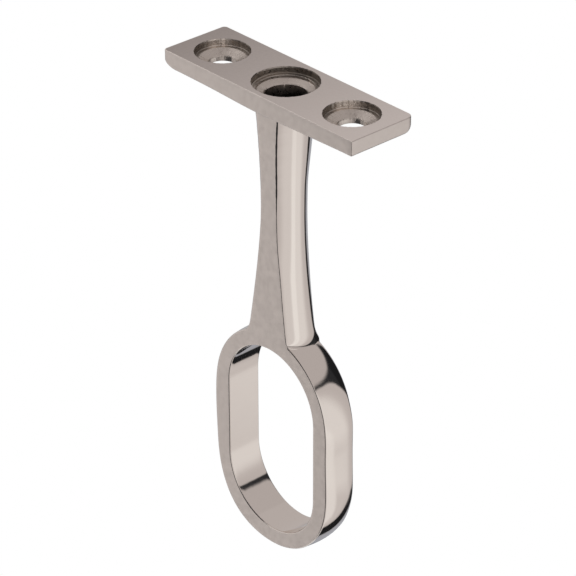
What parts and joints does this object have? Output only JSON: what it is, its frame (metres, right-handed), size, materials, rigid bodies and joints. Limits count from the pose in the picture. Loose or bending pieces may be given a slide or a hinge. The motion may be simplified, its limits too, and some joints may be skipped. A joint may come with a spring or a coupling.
{
  "type": "wardrobe rail centre support",
  "caption": "Cast hanging bracket: a flat fixing plate with two screw holes, a waisted stem and a closed oval eye that holds a wardrobe rail in the middle of its span.",
  "frame": {"origin": "centre of the plate's top face, midway between the two screw holes", "axes": "+Z out of the plate's top face, away from the stem; X along the plate; Y along the rail"},
  "size_m": [0.033, 0.0098, 0.0643],
  "materials": {
    "nickel": "warm nickel plate: linished flat faces, polished flanks, rough as-cast recesses"
  },
  "bodies": {
    "root": {"centre_support": "nickel"}
  },
  "joints": []
}
